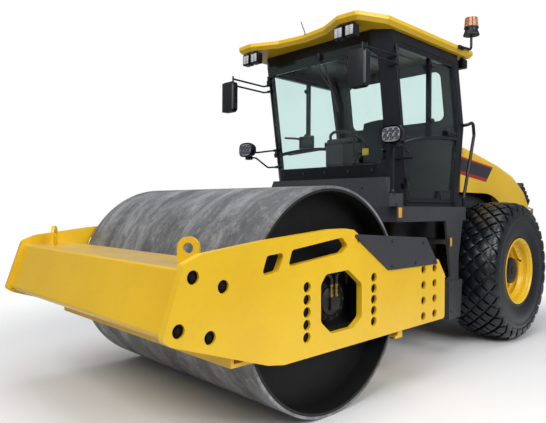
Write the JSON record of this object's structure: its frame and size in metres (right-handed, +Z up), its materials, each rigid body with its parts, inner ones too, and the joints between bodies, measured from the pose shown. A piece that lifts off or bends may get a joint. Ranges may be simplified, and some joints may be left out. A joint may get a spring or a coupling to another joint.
{
  "type": "road roller",
  "caption": "Single-drum road roller: smooth steel drum in a plate frame, articulated to a cabbed rear frame on two big tyres, with steering, doors and a tilting hood",
  "frame": {"origin": "on the ground under the middle of the machine's length and width", "axes": "-Y forwards towards the drum, +X towards the machine's left, +Z up"},
  "size_m": [2.316, 5.8495, 3.2758],
  "materials": {
    "yellow": "satin paint",
    "dark_grey": "satin paint",
    "black": "satin paint",
    "drum_steel": "worn smooth",
    "rod_chrome": "polished",
    "tyre": "matt",
    "glass": "clear, green tint",
    "lamp": "clear lens",
    "amber": "clear amber",
    "red_lens": "red lens",
    "seat_cloth": "woven"
  },
  "bodies": {
    "rear": {"chassis_sides": "dark_grey", "chassis_yoke": "dark_grey", "chassis_walls": "dark_grey", "rear_bumper": "dark_grey", "rear_axle": "dark_grey", "platform": "dark_grey", "steps": "black", "cab_frame": "black", "cab_glass": "glass", "roof": "yellow", "roof_lamps": "lamp", "work_lamps": "black", "mirrors": "black", "beacon_lens": "amber", "roof_poles": "black", "handrails": "black", "seat": "seat_cloth", "console": "black", "engine": "black", "bay_panels": "dark_grey"},
    "link": {"centre_link": "yellow"},
    "front": {"side_plate_left": "yellow", "side_plate_right": "yellow", "covers": "dark_grey", "front_beam": "yellow", "rear_beam": "yellow", "scrapers": "yellow", "drum_carriers": "black"},
    "roller": {"drum_shell": "drum_steel", "drum_heads": "dark_grey"},
    "wheel_left": {"tyre_left": "tyre", "rim_left": "yellow"},
    "wheel_right": {"tyre_right": "tyre", "rim_right": "yellow"},
    "leaf_left": {"door_left": "black", "door_glass_left": "glass"},
    "leaf_right": {"door_right": "black", "door_glass_right": "glass"},
    "bonnet": {"hood": "yellow", "rear_grille": "black", "tail_lamps": "red_lens"},
    "barrel_left": {"steer_barrel_left": "black"},
    "barrel_right": {"steer_barrel_right": "black"},
    "rod_left": {"steer_rod_left": "rod_chrome"},
    "rod_right": {"steer_rod_right": "rod_chrome"}
  },
  "joints": [
    {"name": "steering", "type": "hinge", "parent": "rear", "child": "link", "pos_m": [0, -0.075, 0.7], "axis": [0, 0, 1], "range_deg": [-33, 33]},
    {"name": "oscillation", "type": "hinge", "parent": "link", "child": "front", "pos_m": [0, -0.275, 0.7], "axis": [0, 1, 0], "range_deg": [-10, 10]},
    {"name": "drum_spin", "type": "hinge", "parent": "front", "child": "roller", "pos_m": [0, -1.575, 0.765], "axis": [1, 0, 0], "continuous": true},
    {"name": "wheel_left_spin", "type": "hinge", "parent": "rear", "child": "wheel_left", "pos_m": [0.864, 1.425, 0.725], "axis": [1, 0, 0], "continuous": true},
    {"name": "wheel_right_spin", "type": "hinge", "parent": "rear", "child": "wheel_right", "pos_m": [-0.864, 1.425, 0.725], "axis": [1, 0, 0], "continuous": true},
    {"name": "door_left_hinge", "type": "hinge", "parent": "rear", "child": "leaf_left", "pos_m": [0.794, -0.227, 1.425], "axis": [0, 0.1515, -0.9885], "range_deg": [0, 80]},
    {"name": "door_right_hinge", "type": "hinge", "parent": "rear", "child": "leaf_right", "pos_m": [-0.794, -0.227, 1.425], "axis": [0, -0.1515, 0.9885], "range_deg": [0, 80]},
    {"name": "hood_hinge", "type": "hinge", "parent": "rear", "child": "bonnet", "pos_m": [0, 0.925, 1.96], "axis": [1, 0, 0], "range_deg": [0, 50]},
    {"name": "steer_barrel_left_hinge", "type": "hinge", "parent": "rear", "child": "barrel_left", "pos_m": [0.21, 0.425, 0.7], "axis": [0, 0, 1], "range_deg": [-7, 7]},
    {"name": "steer_barrel_right_hinge", "type": "hinge", "parent": "rear", "child": "barrel_right", "pos_m": [-0.21, 0.425, 0.7], "axis": [0, 0, 1], "range_deg": [-7, 7]},
    {"name": "steer_rod_left_slide", "type": "slide", "parent": "barrel_left", "child": "rod_left", "axis": [0.0665, -0.9978, 0], "range_m": [-0.14, 0.14]},
    {"name": "steer_rod_right_slide", "type": "slide", "parent": "barrel_right", "child": "rod_right", "axis": [-0.0665, -0.9978, 0], "range_m": [-0.14, 0.14]}
  ],
  "couplings": [
    {"joint": "steer_barrel_left_hinge", "follows": "steering", "ratio": 0.17},
    {"joint": "steer_barrel_right_hinge", "follows": "steering", "ratio": 0.17},
    {"joint": "steer_rod_left_slide", "follows": "steering", "m_per_rad": -0.2353},
    {"joint": "steer_rod_right_slide", "follows": "steering", "m_per_rad": 0.2353}
  ]
}
